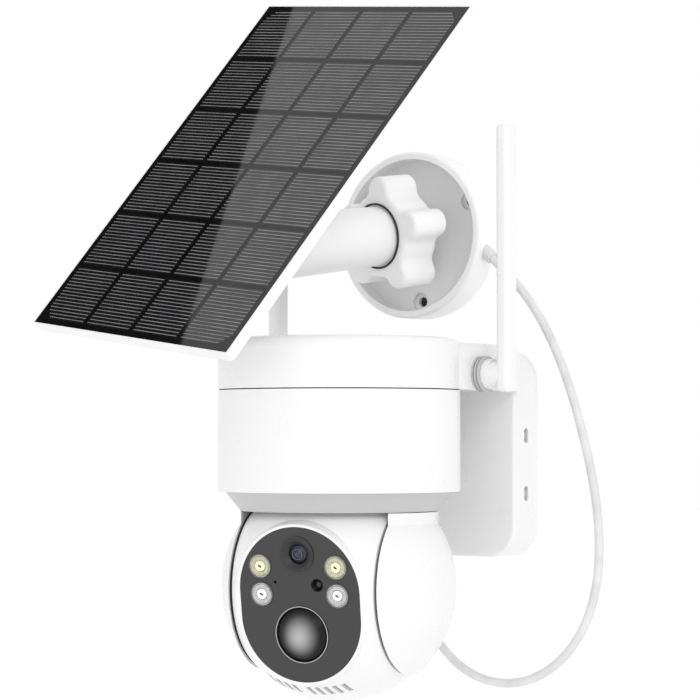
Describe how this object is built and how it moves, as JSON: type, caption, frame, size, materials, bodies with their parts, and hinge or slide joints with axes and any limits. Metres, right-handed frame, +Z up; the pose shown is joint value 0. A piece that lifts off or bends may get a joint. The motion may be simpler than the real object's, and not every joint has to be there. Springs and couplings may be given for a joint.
{
  "type": "solar security camera",
  "caption": "Wall-mounted pan and tilt security camera with spotlights, motion sensor, two antennas and a tilting solar panel on a ball-joint arm, joined by a cable.",
  "frame": {"origin": "centre of the wall bracket's back face, in the wall plane", "axes": "+Z up, +Y into the wall, the camera looks along -Y and its right-hand antenna is on +X"},
  "size_m": [0.206, 0.1849, 0.3158],
  "materials": {
    "white_shell": "satin",
    "white_arm": "satin",
    "grey_trim": "matte",
    "black_face": "gloss",
    "rubber": "matte",
    "steel": "brushed",
    "brass": "polished",
    "nylon": "matte",
    "circuit": "satin",
    "cell_wrap": "gloss",
    "lens_glass": "gloss",
    "lamp_chip": "satin",
    "reflector": "polished",
    "clear_lens": "gloss",
    "motion_lens": "satin",
    "laminate": "satin",
    "silicon": "satin",
    "panel_glass": "gloss",
    "cable_jacket": "satin",
    "motor_case": "satin"
  },
  "bodies": {
    "root": {"wall_bracket": "steel", "bracket_screws": "steel", "rear_box": "white_shell", "power_socket": "rubber", "body_shell": "white_shell", "top_cover": "white_shell", "cover_seal": "rubber", "lower_ring": "grey_trim", "body_screws": "steel", "chassis_plate": "nylon", "pan_bearing": "brass", "pan_motor": "motor_case", "control_board": "circuit", "battery_tray": "nylon", "battery_cells": "cell_wrap", "antenna_seats": "grey_trim", "panel_wall_plate": "white_arm", "cable_grommet": "cable_jacket", "ball_stud": "steel", "panel_cable": "cable_jacket", "cable_plug": "cable_jacket"},
    "pan_pinion": {"pan_pinion": "brass"},
    "yoke": {"yoke_frame": "white_shell", "yoke_cover_left": "white_shell", "yoke_cover_right": "white_shell", "pan_gear": "nylon", "tilt_gear": "nylon"},
    "camera_ball": {"ball_shell_front": "white_shell", "ball_shell_rear": "white_shell", "face_plate": "black_face", "lens_barrel": "black_face", "lens_glass": "lens_glass", "lamp_reflectors": "reflector", "lamp_chips": "lamp_chip", "lamp_lenses": "clear_lens", "pir_lens": "motion_lens", "pir_bezel": "grey_trim", "light_sensor": "lens_glass", "speaker": "black_face", "head_boards": "circuit", "tilt_hubs": "nylon", "hub_clips": "steel", "tilt_motor": "motor_case"},
    "tilt_pinion": {"tilt_pinion": "brass"},
    "antenna_left": {"antenna_left": "white_shell"},
    "antenna_right": {"antenna_right": "white_shell"},
    "joint_yaw": {"joint_liner_inner": "nylon"},
    "joint_pitch": {"joint_liner_outer": "nylon"},
    "arm": {"panel_arm": "white_arm"},
    "knob": {"star_knob": "white_arm"},
    "clamp": {"clamp_ring": "nylon"},
    "panel": {"panel_frame": "white_shell", "solar_backing": "laminate", "solar_cells": "silicon", "panel_glass": "panel_glass", "panel_foot": "white_arm", "foot_screws": "steel", "elbow_bolt": "steel", "junction_box": "grey_trim"},
    "wing_nut": {"wing_nut": "steel"}
  },
  "joints": [
    {"name": "pan", "type": "hinge", "parent": "root", "child": "yoke", "pos_m": [0, -0.092, -0.057], "axis": [0, 0, 1], "range_deg": [-187.5, 167.5]},
    {"name": "pan_pinion_spin", "type": "hinge", "parent": "root", "child": "pan_pinion", "pos_m": [-0.028, -0.092, 0.008], "axis": [0, 0, 1], "range_deg": [-630, 700]},
    {"name": "tilt", "type": "hinge", "parent": "yoke", "child": "camera_ball", "pos_m": [0, -0.092, -0.057], "axis": [0.9848, 0.1736, 0], "range_deg": [-9, 81]},
    {"name": "tilt_pinion_spin", "type": "hinge", "parent": "camera_ball", "child": "tilt_pinion", "pos_m": [-0.00343, -0.07255, -0.05387], "axis": [0.9848, 0.1736, 0], "range_deg": [-40, 260]},
    {"name": "antenna_left_swing", "type": "hinge", "parent": "root", "child": "antenna_left", "pos_m": [-0.052, -0.0535, 0.0347], "axis": [1, 0, 0], "range_deg": [-22, 8]},
    {"name": "antenna_right_swing", "type": "hinge", "parent": "root", "child": "antenna_right", "pos_m": [0.052, -0.0535, 0.0347], "axis": [1, 0, 0], "range_deg": [-22, 30]},
    {"name": "arm_swivel", "type": "hinge", "parent": "root", "child": "joint_yaw", "pos_m": [-0.015, -0.024, 0.1007], "axis": [0, 0, 1], "range_deg": [-6, 15]},
    {"name": "arm_lift", "type": "hinge", "parent": "joint_yaw", "child": "joint_pitch", "pos_m": [-0.015, -0.024, 0.1007], "axis": [0.9695, -0.2452, 0], "range_deg": [-12, 3]},
    {"name": "arm_roll", "type": "hinge", "parent": "joint_pitch", "child": "arm", "pos_m": [-0.015, -0.024, 0.1007], "axis": [-0.2431, -0.961, -0.1322], "range_deg": [-8, 8]},
    {"name": "knob_turn", "type": "hinge", "parent": "arm", "child": "knob", "pos_m": [-0.015, -0.024, 0.1007], "axis": [-0.2431, -0.961, -0.1322], "range_deg": [0, 540]},
    {"name": "clamp_slide", "type": "slide", "parent": "arm", "child": "clamp", "axis": [-0.2431, -0.961, -0.1322], "range_m": [0, 0.00225]},
    {"name": "panel_tilt", "type": "hinge", "parent": "arm", "child": "panel", "pos_m": [-0.03834, -0.11625, 0.08801], "axis": [0.9659, -0.2274, -0.1236], "range_deg": [-6, 12]},
    {"name": "wing_nut_turn", "type": "hinge", "parent": "panel", "child": "wing_nut", "pos_m": [-0.03834, -0.11625, 0.08801], "axis": [0.9659, -0.2274, -0.1236], "range_deg": [0, 360]}
  ],
  "couplings": [
    {"joint": "pan_pinion_spin", "follows": "pan", "ratio": -3.6667},
    {"joint": "tilt_pinion_spin", "follows": "tilt", "ratio": 3},
    {"joint": "knob_turn", "follows": "clamp_slide", "rad_per_m": 4188.8}
  ]
}
